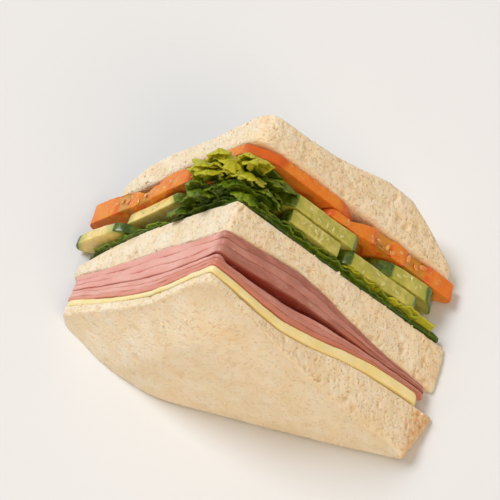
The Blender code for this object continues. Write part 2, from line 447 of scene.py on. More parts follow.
def build_mottle_group():
    """Two colours mingled in patches, with a finer height to go with them."""
    inputs = {"Place": None, "First": (1.0, 1.0, 1.0, 1.0), "Second": (0.0, 0.0, 0.0, 1.0)}
    inputs |= {"Patch scale": 120.0, "Grain scale": 1200.0, "Contrast": 0.25}
    given, made = new_group("Mottle", inputs, ("Colour", "Height", "Patches"))
    patches = grain(given["Place"], given["Patch scale"], 3.0, 0.55, 0.4)
    low = maths("SUBTRACT", 0.5, given["Contrast"])
    share = between(patches, low, maths("ADD", 0.5, given["Contrast"]))
    height = grain(given["Place"], given["Grain scale"], 3.0, 0.6)
    colours = mix(share, given["First"], given["Second"])
    fill(made, {"Colour": colours, "Height": height, "Patches": share})


def mottled(place, first, second, patch_scale, grain_scale=1200.0, contrast=0.25):
    """The Mottle group's outputs in a material, for these two colours."""
    values = {"Place": place, "First": first, "Second": second, "Contrast": contrast}
    return in_group("Mottle", values | {"Patch scale": patch_scale, "Grain scale": grain_scale})


def make_moist(shader, mottle, flesh, rough, film, relief=0.0, wet=None):
    """Links the colour of moist food and, from its mottle, its roughness, film of juice and relief.

    Rough and film each give how much they change and their least value, and wet tells where the film is.
    """
    finish(shader, Base_Color=flesh, Roughness=stretch(mottle["Height"], *rough))
    finish(shader, Coat_Weight=stretch(wet or mottle["Patches"], *film))
    if relief:
        finish(shader, Normal=raise_surface(mottle["Height"], relief))


def build_crumb_group():
    """Fine bread crumb: open cells of mixed size, as a height and as how deep a place lies in them; the
    bread paints the deep places darker, as painted shade.
    """
    given, made = new_group("Crumb", {"Place": None, "Cell scale": 1100.0}, ("Height", "Depth"))
    warp = add_node("ShaderNodeTexNoise", {"Vector": given["Place"], "Scale": 420.0, "Detail": 2.0})
    centred = vector_maths("SUBTRACT", warp.outputs["Color"], (0.5, 0.5, 0.5))
    drift = vector_maths("SCALE", centred, Scale=1.6 * MM)
    place = vector_maths("ADD", given["Place"], drift)
    uneven = stretch(grain(place, 760.0, 2.0), 0.56, -0.28)
    heights = []
    for share in (1.0, 0.45):
        values = {"Vector": place, "Scale": times(given["Cell scale"], share), "Smoothness": 0.3}
        cells = add_node("ShaderNodeTexVoronoi", values, feature="SMOOTH_F1")
        heights.append(between(maths("ADD", cells.outputs["Distance"], uneven), 0.06, 0.42))
    both = times(heights[0], stretch(heights[1], 0.6, 0.4))
    fine = grain(place, 2600.0, 2.0)
    height = maths("MULTIPLY_ADD", fine, 0.25, both)
    fill(made, {"Height": height, "Depth": maths("SUBTRACT", 1.0, both, clamp=True)})


def build_round_group():
    """Where a place lies on a round slice: how far out from its middle, and how far round."""
    inputs = {"Place": None, "Middle": None, "Radius": 0.02}
    given, made = new_group("Round slice", inputs, ("Out", "Round"))
    local = vector_maths("SUBTRACT", given["Place"], given["Middle"])
    parts = add_node("ShaderNodeSeparateXYZ", {0: local}).outputs
    squares = maths("MULTIPLY_ADD", parts["X"], parts["X"], maths("POWER", parts["Z"], 2.0))
    out = maths("DIVIDE", maths("SQRT", squares), given["Radius"])
    fill(made, {"Out": out, "Round": maths("ARCTAN2", parts["Z"], parts["X"])})


# ---------------- settings


def colour_setting(name, red, green, blue):
    return FloatVectorProperty(
        name=name,
        description=f"Colour of the {name.lower()}",
        default=colour(red, green, blue),
        size=3,
        min=0.0,
        max=1.0,
        subtype="COLOR",
    )


def length_setting(name, description, default):
    return FloatProperty(name=name, description=description, default=default, min=0.0, unit="LENGTH")


def angle_setting(name, description, degrees):
    return FloatProperty(name=name, description=description, default=math.radians(degrees), subtype="ANGLE")


class BreadSettings(bpy.types.PropertyGroup):
    """Sizes and colours of the bread"""

    crumb: colour_setting("Crumb", 248, 234, 209)
    warm_crumb: colour_setting("Crumb's warmer patches", 243, 221, 184)
    # The darker tan that the crumb's open cells are painted: painted shade in their hollows.
    pore: colour_setting("Crumb's open cells", 226, 190, 138)
    # A darker orange tint at the right end of a slice and along its foot there.
    end_tint: colour_setting("Tinted end", 216, 158, 92)
    mesh_size: length_setting("Mesh size", "Width of the crumb mesh's cells", 0.3 * MM)
    large_pore: length_setting("Large pore", "Pitch of the crumb's large cells", 2.9 * MM)
    small_pore: length_setting("Small pore", "Pitch of the crumb's small cells", 1.2 * MM)
    pore_depth: length_setting("Pore depth", "Depth of the deepest cells", 0.55 * MM)


class FillingSettings(bpy.types.PropertyGroup):
    """Sizes and colours of the ham and the cheese"""

    ham: colour_setting("Pale ham", 238, 182, 168)
    rosy_ham: colour_setting("Ham's rosier streaks", 230, 158, 144)
    # Darker dusty rose painted on the ham near the right cut: painted shade on the side away from the key
    # light.
    ham_right_cut_shade: colour_setting("Shaded meat", 166, 100, 84)
    # Darker orange for streaks along the ham's edges on the knife cuts.
    ham_edge_streak: colour_setting("Ham's streaked edge", 206, 112, 72)
    # Dark red painted on the faces that look into the gap between the portions: painted shade.
    ham_gap_shade: colour_setting("Shadowed meat deep between the portions", 158, 46, 26)
    ham_layers: IntProperty(name="Ham layers", description="Layers of each portion", default=3, min=1)
    cheese: colour_setting("Cheese", 250, 228, 152)
    pale_cheese: colour_setting("Cheese's paler patches", 251, 236, 184)


class SaladSettings(bpy.types.PropertyGroup):
    """Sizes and colours of the leaves and the round slices"""

    leaf: colour_setting("Fresh leaf", 138, 158, 22)
    pale_leaf: colour_setting("Veins and young leaves", 208, 200, 48)
    # Dark green for the leaves' darker patches, and painted shade on the leaves that lie deep in hollows.
    old_leaf_and_shade: colour_setting("Old leaf", 58, 86, 4)
    leaf_thickness: length_setting("Leaf thickness", "Thickness of a leaf", 0.3 * MM)
    cucumber: colour_setting("Cucumber flesh", 216, 206, 112)
    # Paler flesh for the cucumbers on the left cut, which faces the key light: painted light.
    cucumber_painted_light: colour_setting("Lit cucumber flesh", 252, 222, 136)
    cucumber_rim: colour_setting("Flesh under the cucumber's skin", 176, 178, 66)
    cucumber_skin: colour_setting("Cucumber's skin", 58, 80, 10)
    tomato: colour_setting("Tomato flesh", 238, 150, 48)
    tomato_red: colour_setting("Ripest tomato flesh", 230, 120, 42)
    tomato_jelly: colour_setting("Jelly round the tomato's seeds", 208, 146, 42)
    tomato_skin: colour_setting("Tomato's skin", 212, 102, 36)


class StageSettings(bpy.types.PropertyGroup):
    """Floor, lights and camera"""

    floor: colour_setting("Floor", 230, 232, 234)
    view_width: length_setting("View width", "Width that the camera sees at the sandwich", 118 * MM)
    turn: angle_setting("Turn", "How far round the camera stands", 22.5)
    tilt: angle_setting("Tilt", "How far down the camera looks", 57)
    roll: angle_setting("Roll", "How far the picture leans", 7)


class SandwichSettings(bpy.types.PropertyGroup):
    """Everything that can be set on the sandwich"""

    bread: PointerProperty(type=BreadSettings)
    filling: PointerProperty(type=FillingSettings)
    salad: PointerProperty(type=SaladSettings)
    stage: PointerProperty(type=StageSettings)


# ---------------- bread


def pore(co, size, openness, seed):
    """How deep a place lies in the open cells of that size: 0 on their walls, 1 at the bottom of one."""
    stretched = Vector((co.x, co.y * 0.8, co.z * 1.15)) / size + Vector((seed, seed * 2, seed * 3))
    warped = stretched + 0.35 * noise.noise_vector(stretched * 1.3)
    distances, points = noise.voronoi(warped)
    share = (noise.cell(points[0] * 17.3) + 1) / 2
    radius = openness * share**2.8
    return smooth(1 - distances[0] / radius) if radius > 0.02 else 0.0


def bread_material(settings):
    glow = (0.35, (1.0, 0.62, 0.3), 1.3 * MM)
    made, tree, shader = new_material("bread_crumb", glow, Roughness=0.9, Specular_IOR_Level=0.2)
    place = object_place(tree)
    mottle = mottled(place, settings.crumb, settings.warm_crumb, 190.0, contrast=0.24)
    crumb = in_group("Crumb", {"Place": place, "Cell scale": 1300.0})
    # The deeper a place lies in the crumb's cells, the more it is painted the open cells' darker tan:
    # painted shade in the hollows, most on the knife cuts.
    open_share = stretch(read(tree, "cut"), 0.27, 0.55)
    fine = times(between(crumb["Depth"], 0.25, 1.0), open_share)
    depth = maths("MAXIMUM", times(read(tree, "pore"), 0.8), fine, clamp=True)
    crumb_with_painted_shade = mix(times(depth, 0.7), mottle["Colour"], settings.pore)
    speckle = between(grain(place, 620.0, 3.0, 0.65), 0.36, 0.62)
    tinted = times(read(tree, "end_tint"), stretch(speckle, 0.5, 0.5), clamp=True)
    height = times(crumb["Height"], open_share)
    finish(shader, Base_Color=mix(tinted, crumb_with_painted_shade, settings.end_tint))
    finish(shader, Normal=raise_surface(height, 0.24 * MM))
    return made


def make_bread(node, settings, end_tint_share, seed):
    """One slice: pressed smooth on its two broad sides, with its fine cells open on the knife cuts."""
    piece = node_copy(node)
    bpy.ops.object.mode_set(mode="EDIT")
    bpy.ops.mesh.select_all(action="DESELECT")
    bpy.ops.mesh.edges_select_sharp(sharpness=math.radians(28))
    bpy.ops.transform.edge_crease(value=0.85)
    bpy.ops.object.mode_set(mode="OBJECT")
    finish_modifier(piece, "SUBSURF", levels=2, render_levels=2)
    finish_modifier(piece, "REMESH", mode="VOXEL", voxel_size=settings.mesh_size)
    finish_modifier(piece, "SMOOTH", iterations=3, factor=0.5)
    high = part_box(node)[1]

    def cut_share(_, normal):
        return smooth((0.62 - abs(normal.y)) / 0.35)

    cells = []

    def carve(co, normal):
        cut = cut_share(co, normal)
        large = pore(co, settings.large_pore, 0.8, seed) * (0.45 + 0.55 * cut)
        small = pore(co, settings.small_pore, 0.66, seed + 40) * (0.42 + 0.33 * cut)
        deep = max(large, small)
        cells.append(deep)
        swell = 0.2 * MM * (0.5 + cut) * wave(co, 8 * MM, seed)
        rough = 0.07 * MM * (0.4 + cut) * wave(co, 1.1 * MM, seed + 2, 0.6)
        torn = 0.16 * MM * cut * wave(co, 3.1 * MM, seed + 5, 0.5)
        moved = co + normal * (swell + rough + torn - deep * settings.pore_depth - 0.08 * MM)
        moved.z = max(moved.z, 0.0)
        return moved

    # Tints the right end darker orange, most on its end face and along its foot.
    def tinted(co, normal):
        tip = smooth((co.x - (high.x - 6 * MM)) / (4 * MM)) * smooth(normal.x * 2.2 - 0.5)
        rim = smooth((co.x - (high.x - 9 * MM)) / (8 * MM)) * smooth(1 - co.z / (5 * MM))
        return end_tint_share * min(tip + 0.6 * rim, 1.0)

    mark_by(piece, "cut", cut_share)
    mark_by(piece, "end_tint", tinted)
    reshape(piece, carve)
    # How deep each point lies in a cell, which the material paints darker as painted shade.
    mark(piece, "pore", cells)
    return piece


class SANDWICH_OT_bread(bpy.types.Operator):
    """Make the three bread slices"""

    bl_idname = "sandwich.bread"
    bl_label = "Bread"

    def execute(self, context):
        settings = context.scene.sandwich.bread
        # Noise vectors drift from run to run unless they are seeded.
        noise.seed_set(3)
        material = bread_material(settings)
        for seed, (node, end_tint_share) in enumerate(BREADS.items(), start=1):
            settle(make_bread(node, settings, end_tint_share, seed * 11.7), material, "bread", node)
        return {"FINISHED"}


# ---------------- ham and cheese


def ham_material(settings):
    glow = (0.3, (1.0, 0.4, 0.28), 1.6 * MM)
    made, tree, shader = new_material("sliced_ham", glow, Coat_Roughness=0.35)
    values = {"Vector": object_place(tree), "Scale": (0.5, 1.6, 0.7)}
    place = add_node("ShaderNodeMapping", values).outputs[0]
    mottle = mottled(place, settings.ham, settings.rosy_ham, 240.0, 1700.0, 0.22)
    # The ham near the right cut is painted darker in patches: painted shade on the side away from the key
    # light.
    right_cut_shade_patches = between(grain(place, 330.0, 3.0, 0.6), 0.3, 0.62)
    lean = times(read(tree, "lean"), stretch(right_cut_shade_patches, 0.3, 0.7))
    flesh = mix(lean, mottle["Colour"], settings.ham_right_cut_shade)
    flesh = mix(times(read(tree, "edge"), 0.75), flesh, settings.ham_edge_streak)
    # Faces that look into the gap between the portions are painted dark red: painted shade.
    flesh = mix(read(tree, "deep"), flesh, settings.ham_gap_shade)
    fat = between(grain(place, 800.0, 2.0, 0.5), 0.66, 0.76)
    flesh = mix(times(fat, 0.3), flesh, colour(250, 218, 200))
    make_moist(shader, mottle, flesh, (0.25, 0.36), (0.3, 0.0), 0.09 * MM)
    return made


def make_ham(node, layers, seed):
    """One portion of ham: thin slices pressed on each other, whose edges don't quite line up.

    Where the two portions meet on the right cut, the front one's top slice lies back and leaves a gap,
    whose inner faces are painted dark red as painted shade.
    """
    surfaces = surface_reader(node)
    outline = even_outline(node, 420)
    front_portion = node == "ham_front"
    half_gap = 0.02 * MM
    sheets = []

    def boundary(x, z, line):
        """How far through the portion one boundary between two layers lies."""
        if line in (0, layers):
            return line / layers
        return line / layers + 0.3 / layers * wave(Vector((x, 0, z)), 14 * MM, line * 3.7 + seed)

    def leave_gap(co, _):
        down = (co - CORNER).dot(CUT_SLOPES[1])
        reach = smooth(down / (4 * MM)) * smooth((32 * MM - down) / (12 * MM))
        return co - CUT_NORMALS[1] * 1.6 * MM * reach * smooth(1 - inside_cut(co, 1) / (6 * MM))

    for layer in range(layers):
        top_slice = front_portion and layer == layers - 1

        def sheet_surfaces(x, z):
            front, back = surfaces(x, z)
            start, end = (front + (back - front) * boundary(x, z, line) for line in (layer, layer + 1))
            return start + half_gap, end - half_gap

        # Marks the ham near the right cut for painted shade, less on the front portion.
        def right_cut_shade_share(co, _):
            share = smooth(1 - inside_cut(co, 1) / (3 * MM)) * (0.86 + 0.14 * math.sin(layer * 2.1 + seed))
            return share * (0.6 if front_portion else 1.0)

        # Darker orange streaks near the cuts, strongest on the front portion's frontmost layer.
        def edge_share(co, _):
            streak = 0.7 * smooth(wave(Vector((co.x, 0, layer * 0.05)), 9 * MM, seed) * 1.6 - 0.35)
            outermost = 0.6 if front_portion and layer == 0 else 0.0
            return min(streak + outermost, 1.0) * smooth(1 - inside_cut(co) / (2 * MM))

        # Marks the faces that look into the gap on the right cut, for painted shade.
        def gap_shade_share(co, normal):
            behind_gap = not front_portion and layer == 0 and normal.y < -0.4
            inside = inside_cut(co, 1)
            shown = top_slice and normal.y > 0.4 or behind_gap
            return smooth(inside / (1.2 * MM)) * smooth(1 - inside / (14 * MM)) if shown else 0.0

        sheet = slab(f"{node}_sheet", outline, sheet_surfaces, 0.3 * MM, inner_rings=10)
        make_ragged(sheet, amount=0.32 * MM, size=7 * MM, reach=5 * MM, seed=seed + layer)
        make_ragged(sheet, amount=0.07 * MM, size=1.7 * MM, reach=2 * MM, seed=seed + layer + 20)
        if top_slice:
            reshape(sheet, leave_gap)
        for name, share in (("lean", right_cut_shade_share), ("edge", edge_share), ("deep", gap_shade_share)):
            mark_by(sheet, name, share)
        sheets.append(sheet)
    return join(sheets, node + "_piece")


class SANDWICH_OT_ham(bpy.types.Operator):
    """Make the two portions of ham"""

    bl_idname = "sandwich.ham"
    bl_label = "Ham"

    def execute(self, context):
        settings = context.scene.sandwich.filling
        material = ham_material(settings)
        for seed, node in enumerate(("ham_back", "ham_front"), start=1):
            settle(make_ham(node, settings.ham_layers, seed * 9.1), material, "ham", node)
        return {"FINISHED"}


def cheese_material(settings):
    glow = (0.25, (1.0, 0.7, 0.25), 1.5 * MM)
    made, tree, shader = new_material("soft_cheese", glow, Coat_Roughness=0.35)
    mottle = mottled(object_place(tree), settings.cheese, settings.pale_cheese, 190.0, 1400.0, 0.2)
    make_moist(shader, mottle, mottle["Colour"], (0.3, 0.28), (0.25, 0.0), 0.06 * MM)
    return made


class SANDWICH_OT_cheese(bpy.types.Operator):
    """Make the cheese slice"""

    bl_idname = "sandwich.cheese"
    bl_label = "Cheese"

    def execute(self, context):
        piece = slab("cheese_piece", even_outline("cheese", 460), surface_reader("cheese"), 0.5 * MM)
        make_ragged(piece, amount=0.4 * MM, size=9 * MM, reach=6 * MM, seed=3.3)
        make_ragged(piece, amount=0.08 * MM, size=1.9 * MM, reach=2 * MM, seed=5.9)
        settle(piece, cheese_material(context.scene.sandwich.filling), "cheese", "cheese")
        return {"FINISHED"}


# ---------------- cucumber and tomato


def scatter_copies(model, places, name):
    """Copies of a small shape, each with its own mesh, joined as one piece.

    Each place is where the copy goes, the way its face looks, and its turn and size.
    """
    copies = []
    for place, facing, turn, size in places:
        copy = model.copy()
        copy.data = model.data.copy()
        bpy.context.scene.collection.objects.link(copy)
        tilt = Vector((0, 0, 1)).rotation_difference(facing).to_matrix()
        cosine, sine = math.cos(turn), math.sin(turn)

        def rule(co, _):
            turned = Vector((co.x * cosine - co.y * sine, co.x * sine + co.y * cosine, co.z))
            return tilt @ (turned * size) + place

        reshape(copy, rule)
        copies.append(copy)
    joined = join(copies, name)
    bpy.data.objects.remove(model)
    return joined


def make_seeds(sizes, places, name):
    """Flat drop-shaped seeds, copies of a small sphere drawn out at one end."""
    bpy.ops.mesh.primitive_uv_sphere_add(segments=8, ring_count=6, radius=0.5)
    model = new_piece("seed")
    length, width, thickness = (size * MM for size in sizes)

    def rule(co, _):
        taper = 1 - 0.75 * smooth(co.x + 0.5)
        return Vector((co.x * length, co.y * width * (0.4 + taper), co.z * thickness))

    reshape(model, rule)
    return scatter_copies(model, places, name)


def round_places(tree, node, scale, amount):
    """Object places on a round slice, how far out they lie, unevenly, and how far round."""
    middle, radius = circle_of(node)
    place = object_place(tree)
    wobble = times(maths("SUBTRACT", grain(place, scale, 2.0), 0.5), amount)
    rings = in_group("Round slice", {"Place": place, "Middle": middle, "Radius": radius})
    return place, maths("ADD", rings["Out"], wobble), rings["Round"]


def cucumber_material(settings, node, pale):
    glow = (0.35, (0.8, 1.0, 0.35), 2.0 * MM)
    made, tree, shader = new_material(node + "_flesh", glow, Coat_Roughness=0.12)
    place, out, around = round_places(tree, node, 260.0, 0.06)
    # Cucumbers on the left cut get paler colours: painted light on the side that faces the key light.
    flesh = settings.cucumber_painted_light if pale else settings.cucumber
    greener = colour(238, 208, 112) if pale else colour(176, 174, 64)
    mottle = mottled(place, flesh, greener, 420.0, 1500.0, 0.22)
    spokes = maths("SINE", times(around, round(circle_of(node)[1] / (0.69 * MM))))
    chambers = maths("SINE", times(around, 3.0))
    in_core = times(between(out, 0.68, 0.58), between(out, 0.12, 0.3))
    seedy = times(in_core, between(chambers, -0.8, 0.1))
    seedy = times(seedy, between(spokes, -0.1, 0.7))
    flesh = mix(times(seedy, 0.6), mottle["Colour"], colour(236, 228, 160))
    flesh = mix(between(out, 0.82, 0.955), flesh, settings.cucumber_rim)
    streaks = between(grain(place, 520.0, 3.0, 0.6), 0.35, 0.65)
    skin = mix(streaks, settings.cucumber_skin, colour(96, 116, 24))
    flesh = mix(between(out, 0.945, 0.972), flesh, skin)
    make_moist(shader, mottle, flesh, (0.2, 0.14), (0.3, 0.3), 0.09 * MM)
    return made


def wet_seed_material(name, pale, dark):
    made, tree, shader = new_material(name, (0.3, (1.0, 0.8, 0.4), 0.8 * MM), Coat_Roughness=0.08)
    mottle = mottled(object_place(tree), pale, dark, 700.0)
    make_moist(shader, mottle, mottle["Colour"], (0.2, 0.12), (0.3, 0.4))
    return made


def make_round_slice(node, seed, rim, uneven, pockets=0):
    """A round slice standing on edge, as the knife cuts left it.

    A tomato slice has that many pockets of jelly between walls of firmer flesh, a little sunk.
    """
    outline = even_outline(node, 300, 0.6 * MM)
    piece = slab(node + "_piece", outline, surface_reader(node), rim, inner_rings=16, rim_rings=7)
    middle, radius = circle_of(node)

    def pocket_share(co, _):
        if not pockets:
            return 0.0
        local = co - middle + Vector((1.6, 0, 1.2)) * MM * wave(co, 5 * MM, seed + 1, 0.5)
        out = math.hypot(local.x, local.z) / radius
        spoke = math.sin(pockets * math.atan2(local.z, local.x) + seed)
        return smooth((spoke + 0.5) / 1.1) * smooth((out - 0.2) / 0.14) * smooth((0.82 - out) / 0.12)

    def rule(co, normal):
        rise = uneven * (wave(co, 5 * MM, seed, 0.5) - 0.3)
        return co + normal * (rise - 0.55 * MM * pocket_share(co, normal))

    mark_by(piece, "pocket", pocket_share)
    reshape(piece, rule)
    return piece


def seeds_on_cut(node, side, chance, count, spread, sunk):
    """Places for seeds along the knife cut through a round slice, sunk a little way into it."""
    middle, radius = circle_of(node)
    low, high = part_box(node)
    surfaces = surface_reader(node)
    foot = (CORNER - middle).dot(CUT_SLOPES[side])
    half = math.sqrt(max(radius**2 - inside_cut(middle, side) ** 2, 0.0)) * spread
    proud = -min(inside_cut(place, side) for place in node_points(node))
    places = []
    for i in range(count):
        down = -foot + half * (2 * (i + chance.uniform(0.2, 0.8)) / count - 1)
        here = cut_place(side, down, sunk - proud)
        front, back = surfaces(here.x, here.z)
        if low.z + 1.5 * MM < here.z and low.x < here.x < high.x:
            here.y = front + (back - front) * chance.uniform(0.25, 0.75)
            facing = (CUT_NORMALS[side] + Vector((0, chance.uniform(-0.3, 0.3), 0))).normalized()
            places.append((here, facing, chance.uniform(0, math.tau), chance.uniform(0.75, 1.1)))
    return places


class SANDWICH_OT_cucumber(bpy.types.Operator):
    """Make the cucumber slices and their seeds"""

    bl_idname = "sandwich.cucumber"
    bl_label = "Cucumber"

    def execute(self, context):
        settings = context.scene.sandwich.salad
        for seed, (node, side) in enumerate(CUCUMBERS.items()):
            piece = make_round_slice(node, seed * 5.3, rim=0.4 * MM, uneven=0.14 * MM)
            # Cucumbers on the left cut are painted paler: painted light.
            settle(piece, cucumber_material(settings, node, pale=side < 0), "cucumber", node)
        chance = random.Random(5)
        places = []
        for node, side in CUCUMBERS.items():
            places += seeds_on_cut(node, side, chance, count=5, spread=0.62, sunk=0.16 * MM)
        material = wet_seed_material("cucumber_seed", colour(224, 216, 148), colour(200, 196, 104))
        settle(make_seeds((2.1, 0.8, 0.45), places, "cucumber_seeds"), material, "cucumber")
        return {"FINISHED"}


def tomato_material(settings, node):
    glow = (0.3, (1.0, 0.3, 0.12), 2.0 * MM)
    made, tree, shader = new_material(node + "_flesh", glow, Specular_IOR_Level=0.2, Coat_Roughness=0.15)
    place, out, _ = round_places(tree, node, 180.0, 0.1)
    mottle = mottled(place, settings.tomato, settings.tomato_red, 230.0, 1300.0, 0.26)
    veins = between(grain(place, 700.0, 2.0, 0.5, 1.5), 0.56, 0.66)
    flesh = mix(times(veins, 0.4), mottle["Colour"], colour(242, 176, 96))
    pocket = read(tree, "pocket")
    flesh = mix(times(pocket, 0.85), flesh, settings.tomato_jelly)
    wall = times(pocket, maths("SUBTRACT", 3.0, times(pocket, 3.0)))
    dabs = between(grain(place, 420.0, 2.0), 0.4, 0.6)
    flesh = mix(times(wall, dabs), flesh, colour(224, 84, 46))
    ripe = times(between(out, 0.78, 0.92), 0.15)
    flesh = mix(ripe, flesh, settings.tomato_red)
    flesh = mix(between(out, 0.95, 0.985), flesh, settings.tomato_skin)
    make_moist(shader, mottle, flesh, (0.25, 0.25), (0.5, 0.04), 0.11 * MM, wet=pocket)
    return made


class SANDWICH_OT_tomato(bpy.types.Operator):
    """Make the tomato slices and their seeds"""

    bl_idname = "sandwich.tomato"
    bl_label = "Tomato"

    def execute(self, context):
        settings = context.scene.sandwich.salad
        for seed, node in enumerate(TOMATOES):
            piece = make_round_slice(node, seed * 8.9 + 2, rim=0.45 * MM, uneven=0.2 * MM, pockets=6)
            settle(piece, tomato_material(settings, node), "tomato", node)
        chance = random.Random(9)
        places = []
        for node in ("tomato_1", "tomato_3", "tomato_2"):
            places += seeds_on_cut(node, TOMATOES[node], chance, count=13, spread=0.8, sunk=0.25 * MM)
        material = wet_seed_material("tomato_seed", colour(240, 200, 116), colour(226, 110, 44))
        settle(make_seeds((2.2, 1.2, 0.5), places, "tomato_seeds"), material, "tomato")
        return {"FINISHED"}


# ---------------- salad


def leaf_material(settings):
    glow = (0.25, (0.6, 1.0, 0.2), 0.9 * MM)
    made, tree, shader = new_material("salad_leaf", glow, Specular_IOR_Level=0.3, Coat_Roughness=0.25)
    across = maths("ABSOLUTE", read(tree, "leaf_across"))
    midrib = between(across, 0.11, 0.02)
    slanted = maths("MULTIPLY_ADD", across, -0.4, read(tree, "leaf_along"))
    rib_waves = maths("ABSOLUTE", maths("SINE", times(slanted, 26.0)))
    ribs = times(between(rib_waves, 0.22, 0.05), between(across, 1.0, 0.5))
    veins = maths("MAXIMUM", midrib, times(ribs, 0.6))
    mottle = mottled(object_place(tree), settings.leaf, settings.old_leaf_and_shade, 330.0, 1500.0, 0.2)
    pale = settings.pale_leaf
    tone_and_shade = read(tree, "tone_and_shade")
    # A low tone paints a leaf darker: painted shade on leaves deep in hollows and at their feet. A high
    # tone paints it paler.
    blade = mix(between(tone_and_shade, 0.5, 0.0), mottle["Colour"], settings.old_leaf_and_shade)
    blade = mix(times(between(tone_and_shade, 0.5, 1.0), 0.75), blade, pale)
    blade = mix(times(veins, stretch(tone_and_shade, 0.6, 0.15)), blade, pale)
    make_moist(shader, mottle, blade, (0.25, 0.28), (0.25, 0.0))
    height = maths("SUBTRACT", times(mottle["Height"], 0.5), veins)
    finish(shader, Normal=raise_surface(height, 0.18 * MM, 0.8))
    return made


def within(value):
    return min(max(value, 0.0), 1.0)


def leaf_grid(columns, rows, thickness, tones, rule):
    """A leaf from a grid: the rule places each point from how far along the leaf and across it is.

    The tones run from 0, dark, to 1, pale; the dark end is painted shade.
    """
    bpy.ops.mesh.primitive_grid_add(x_subdivisions=columns, y_subdivisions=rows, size=1)
    leaf = new_piece("leaf")
    places = [(vert.co.x + 0.5, 2 * vert.co.y) for vert in leaf.data.vertices]
    mark(leaf, "leaf_along", [along for along, _ in places])
    mark(leaf, "leaf_across", [across for _, across in places])
    mark(leaf, "tone_and_shade", [within(tones(along, across)) for along, across in places])
    reshape(leaf, lambda co, _: rule(co.x + 0.5, 2 * co.y))
    finish_modifier(leaf, "SOLIDIFY", thickness=thickness, offset=0.0)
    return leaf


def edge_ribbon(row, seed, thickness):
    """The frilled edge of a leaf lying between the bread and the cucumber, seen along a knife cut.

    It runs over a span down the cut, at depths from its start to its end, and flap tells how far its
    outer edge folds over: back over the cucumber, or forward over the bread when it is below 0.
    """
    side, span, depths, *sizes, tone_and_shade = row
    start, end = (place * MM for place in span)
    first, last = (place * MM for place in depths)
    width, proud, flap = (size * MM for size in sizes)
    length = end - start

    def rule(along, across):
        outer = (1 - across) / 2
        run = Vector((length * along, 0, 0))
        loose = outer**1.4
        down = start + length * along + 0.9 * MM * loose * wave(run, 3.1 * MM, seed + 1, 0.5)
        edge = proud + 0.9 * MM * wave(run, 5 * MM, seed + 2) + 0.6 * MM * wave(run, 1.3 * MM, seed + 3)
        ends = smooth(along * 9) * smooth((1 - along) * 9)
        reach = (width + edge) * outer * (0.35 + 0.65 * ends)
        fold = flap * smooth((outer - 0.45) / 0.55) * (0.75 + 0.75 * wave(run, 4 * MM, seed + 4))
        ripple = 0.7 * MM * wave(run, 4.5 * MM, seed + 5) + 0.7 * MM * wave(run, 1.5 * MM, seed + 6)
        here = cut_place(side, down, width - reach + 0.5 * abs(fold) * smooth((outer - 0.7) / 0.3))
        here.y = first + (last - first) * along + fold
        here.y += loose * ripple
        here.z = max(here.z, 0.7 * MM)
        return here

    # The inner edge, deeper in, is painted darker than the outer edge: painted shade.
    def tones(along, across):
        return tone_and_shade + 0.25 * (1 - across) / 2 + 0.2 * wave(Vector((along, 0, 0)), 0.12, seed)

    return leaf_grid(int(length / (0.32 * MM)), 13, thickness, tones, rule)


def curly_leaf(spot, chance, thickness):
    """One small frilled leaf that stands up from its foot and curls over.

    Its spot tells where its foot is, across, back and up, and its size, lean and tone; a low tone is
    painted shade.
    """
    *foot, size, lean, tone_and_shade = spot
    foot = Vector(foot) * MM
    forward = Vector((lean, chance.uniform(-0.15, 0.35), 1.0)).normalized()
    facing = Vector((chance.uniform(-0.5, 0.5), -1.0, chance.uniform(0.2, 0.6)))
    length = size * chance.uniform(0.9, 1.1) * MM
    width = size * chance.uniform(0.7, 0.95) * MM
    bend = chance.uniform(0.4, 1.1)
    frill = chance.uniform(0.7, 1.1) * MM
    tone_and_shade += chance.uniform(-0.08, 0.08)
    seed = chance.uniform(0, 50)
    aside = facing.cross(forward).normalized()
    upward = forward.cross(aside)

    def rule(along, across):
        turn = bend * along
        reach = length * (math.sin(turn) / bend)
        height = length * ((1 - math.cos(turn)) / bend)
        run = Vector((length * along, math.copysign(20 * MM, across or -1), 0))
        round_off = max(math.sin(math.pi * within(0.06 + 0.94 * along) ** 1.25), 0.0) ** 0.55
        lobe = 1 + 0.45 * wave(run, 2.2 * MM, seed) + 0.4 * wave(run, 0.8 * MM, seed + 1)
        half = width / 2 * round_off * (1 + (lobe - 1) * abs(across))
        ripple = 1.5 * wave(run, 1.7 * MM, seed + 2) + 0.9 * wave(run, 0.8 * MM, seed + 3)
        curl = frill * abs(across) ** 1.6 * ripple
        flat = Vector((length * along, width * across, 0))
        crumple = 0.4 * MM * wave(flat, 3.0 * MM, seed + 4) + 0.22 * width * across * across
        return foot + forward * reach + aside * (half * across) + upward * (height + curl + crumple)

    # A leaf's foot is painted darker than its tip: painted shade low in the sprig.
    def tones(along, across):
        return tone_and_shade + 0.3 * (along - 0.5) + 0.15 * abs(across)

    return leaf_grid(int(length / (0.24 * MM)), 19, thickness, tones, rule)


def salad_core():
    """The dark leaves deep between the bread and the cucumber, painted dark as painted shade."""
    surfaces = surface_reader("salad", 8 * MM)

    def core_surfaces(x, z):
        front, back = surfaces(x, min(z, 34 * MM))
        ripple = 0.3 * MM * noise.noise(Vector((x, 0, z)) / (4 * MM))
        return front + 0.25 * MM, min(back, front + 2.4 * MM) - 0.5 * MM + ripple

    outline = even_outline("bread_middle", 300, 2 * MM, grow=-1.6 * MM)
    core = slab("salad_core", outline, core_surfaces, 0.5 * MM)
    make_ragged(core, amount=0.7 * MM, size=3 * MM, reach=4 * MM, seed=12.0)
    mark_by(core, "leaf_along", lambda co, _: co.x / (40 * MM))
    mark_by(core, "leaf_across", lambda co, _: 0.6)
    # A low tone: painted shade.
    mark_by(core, "tone_and_shade", lambda co, _: 0.12)
    return core


